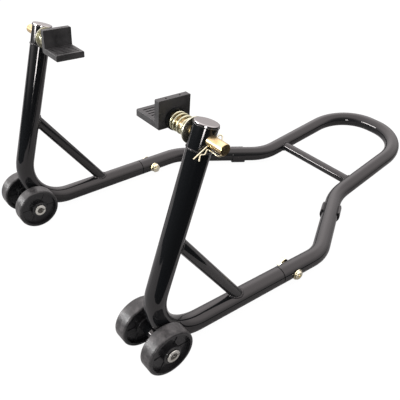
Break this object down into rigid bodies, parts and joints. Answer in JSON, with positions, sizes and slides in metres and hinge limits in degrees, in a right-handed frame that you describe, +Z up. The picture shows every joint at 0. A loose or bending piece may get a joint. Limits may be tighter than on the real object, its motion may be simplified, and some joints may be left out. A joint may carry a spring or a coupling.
{
  "type": "paddock stand",
  "caption": "Rear paddock stand for a motorcycle: a bent tube frame on small wheels, with sprung swivelling L-shaped pads and a raised handle loop.",
  "frame": {"origin": "on the floor, at the middle of the stand's length and width", "axes": "+X towards the handle loop, +Y to the left, +Z up"},
  "size_m": [0.8577, 0.52, 0.371],
  "materials": {
    "frame_paint": "gloss black enamel",
    "wheel_plastic": "satin moulded",
    "pad_rubber": "matte moulded",
    "gold_zinc": "yellow zinc plated",
    "pale_zinc": "pale yellow zinc plated",
    "bright_steel": "bright"
  },
  "bodies": {
    "frame": {"handle_tube": "frame_paint", "crossbar": "frame_paint", "head_welds": "frame_paint", "axle_retainers": "bright_steel", "joint_bolts": "gold_zinc", "joint_nuts": "gold_zinc", "joint_washers": "gold_zinc", "left_side_tube": "frame_paint", "left_brace": "frame_paint", "left_head": "frame_paint", "left_head_cap": "frame_paint", "left_axle_sleeve": "frame_paint", "left_axle": "bright_steel", "left_foot": "frame_paint", "left_washer": "pale_zinc", "left_spring": "pale_zinc", "right_side_tube": "frame_paint", "right_brace": "frame_paint", "right_head": "frame_paint", "right_head_cap": "frame_paint", "right_axle_sleeve": "frame_paint", "right_axle": "bright_steel", "right_foot": "frame_paint", "right_washer": "pale_zinc", "right_spring": "pale_zinc"},
    "left_outer_wheel": {"left_outer_wheel": "wheel_plastic"},
    "left_inner_wheel": {"left_inner_wheel": "wheel_plastic"},
    "left_slider": {"left_pin": "gold_zinc", "left_clip": "pale_zinc"},
    "left_support": {"left_pad_hub": "frame_paint", "left_pad": "pad_rubber"},
    "right_outer_wheel": {"right_outer_wheel": "wheel_plastic"},
    "right_inner_wheel": {"right_inner_wheel": "wheel_plastic"},
    "right_slider": {"right_pin": "gold_zinc", "right_clip": "pale_zinc"},
    "right_support": {"right_pad_hub": "frame_paint", "right_pad": "pad_rubber"}
  },
  "joints": [
    {"name": "left_outer_wheel_spin", "type": "hinge", "parent": "frame", "child": "left_outer_wheel", "pos_m": [-0.39085, 0.2105, 0.038], "axis": [0, 1, 0], "continuous": true},
    {"name": "left_inner_wheel_spin", "type": "hinge", "parent": "frame", "child": "left_inner_wheel", "pos_m": [-0.39085, 0.2105, 0.038], "axis": [0, 1, 0], "continuous": true},
    {"name": "left_pin_slide", "type": "slide", "parent": "frame", "child": "left_slider", "axis": [0, 1, 0], "range_m": [0, 0.012], "stiffness_N_per_m": 3000, "springref_m": -0.01, "deforming": ["left_spring"]},
    {"name": "left_pad_swivel", "type": "hinge", "parent": "left_slider", "child": "left_support", "pos_m": [-0.32806, 0.21664, 0.34372], "axis": [0, 1, 0], "continuous": true},
    {"name": "right_outer_wheel_spin", "type": "hinge", "parent": "frame", "child": "right_outer_wheel", "pos_m": [-0.39085, -0.2105, 0.038], "axis": [0, 1, 0], "continuous": true},
    {"name": "right_inner_wheel_spin", "type": "hinge", "parent": "frame", "child": "right_inner_wheel", "pos_m": [-0.39085, -0.2105, 0.038], "axis": [0, 1, 0], "continuous": true},
    {"name": "right_pin_slide", "type": "slide", "parent": "frame", "child": "right_slider", "axis": [0, -1, 0], "range_m": [0, 0.012], "stiffness_N_per_m": 3000, "springref_m": -0.01, "deforming": ["right_spring"]},
    {"name": "right_pad_swivel", "type": "hinge", "parent": "right_slider", "child": "right_support", "pos_m": [-0.32806, -0.21664, 0.34372], "axis": [0, 1, 0], "continuous": true}
  ]
}
